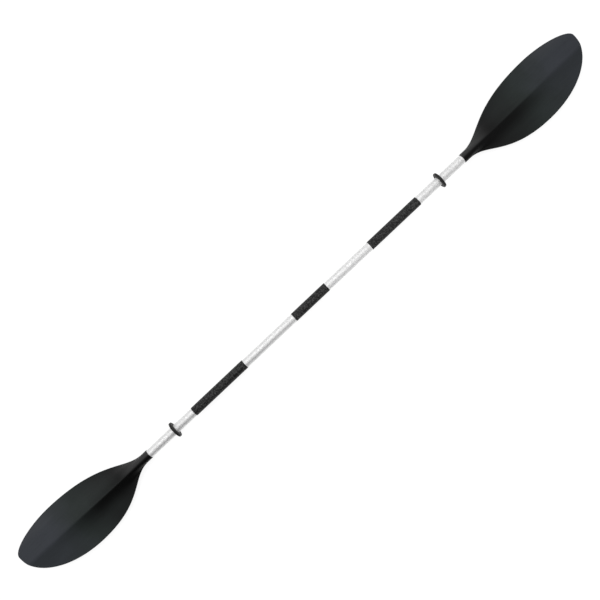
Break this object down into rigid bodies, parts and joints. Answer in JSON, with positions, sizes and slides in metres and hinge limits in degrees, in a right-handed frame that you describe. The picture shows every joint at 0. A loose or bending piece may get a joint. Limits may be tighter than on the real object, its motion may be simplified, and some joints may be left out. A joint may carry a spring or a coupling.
{
  "type": "kayak paddle",
  "caption": "Double-bladed kayak paddle with asymmetric dihedral blades on a tube shaft that comes apart and feathers in the middle, with grips and drip rings.",
  "frame": {"origin": "on the shaft's axis, half way between the two blade tips", "axes": "+X along the shaft to the right blade, +Y towards the longer blade edges, +Z out of the blades' power faces"},
  "size_m": [2.3, 0.1866, 0.053],
  "materials": {
    "blade": "moulded glass-filled plastic, satin, fine grain",
    "tube": "satin drawn tube, clear coated",
    "grip": "matte soft sleeve with a fine grain",
    "sleeve": "matte thin sleeve with a fine grain",
    "drip_ring": "moulded, matte",
    "ferrule": "moulded nylon",
    "rivet": "plain blind rivet",
    "seal": "smooth O-ring",
    "plug": "moulded stopper",
    "button": "turned stainless",
    "spring": "spring strip",
    "foam": "closed-cell foam"
  },
  "bodies": {
    "left_half": {"left_shaft_tube": "tube", "left_blade": "blade", "left_grip": "grip", "male_ferrule": "ferrule", "ferrule_rivets": "rivet", "ferrule_plug": "plug", "button_spring": "spring", "left_float_plug": "foam", "left_blade_rivets": "rivet"},
    "left_ring": {"left_drip_ring": "drip_ring"},
    "button": {"snap_button": "button"},
    "seal": {"ferrule_seal": "seal"},
    "right_half": {"right_shaft_tube": "tube", "right_blade": "blade", "right_grip": "grip", "joint_sleeve": "sleeve", "tube_bulkhead": "foam", "right_float_plug": "foam", "right_blade_rivets": "rivet"},
    "right_ring": {"right_drip_ring": "drip_ring"}
  },
  "joints": [
    {"name": "left_ring_slide", "type": "slide", "parent": "left_half", "child": "left_ring", "axis": [1, 0, 0], "range_m": [-0.1, 0.072]},
    {"name": "right_ring_slide", "type": "slide", "parent": "right_half", "child": "right_ring", "axis": [1, 0, 0], "range_m": [-0.083, 0.088]},
    {"name": "button_press", "type": "slide", "parent": "left_half", "child": "button", "axis": [0, 0, 1], "range_m": [0, 0.0034], "stiffness_N_per_m": 3000, "springref_m": -0.002, "deforming": ["button_spring"]},
    {"name": "feather_twist", "type": "hinge", "parent": "left_half", "child": "seal", "pos_m": [0.033, 0, 0], "axis": [1, 0, 0], "range_deg": [-60, 60], "deforming": ["snap_button", "button_spring"]},
    {"name": "pull_apart", "type": "slide", "parent": "seal", "child": "right_half", "axis": [1, 0, 0], "range_m": [0, 0.14], "deforming": ["snap_button", "button_spring"]}
  ]
}
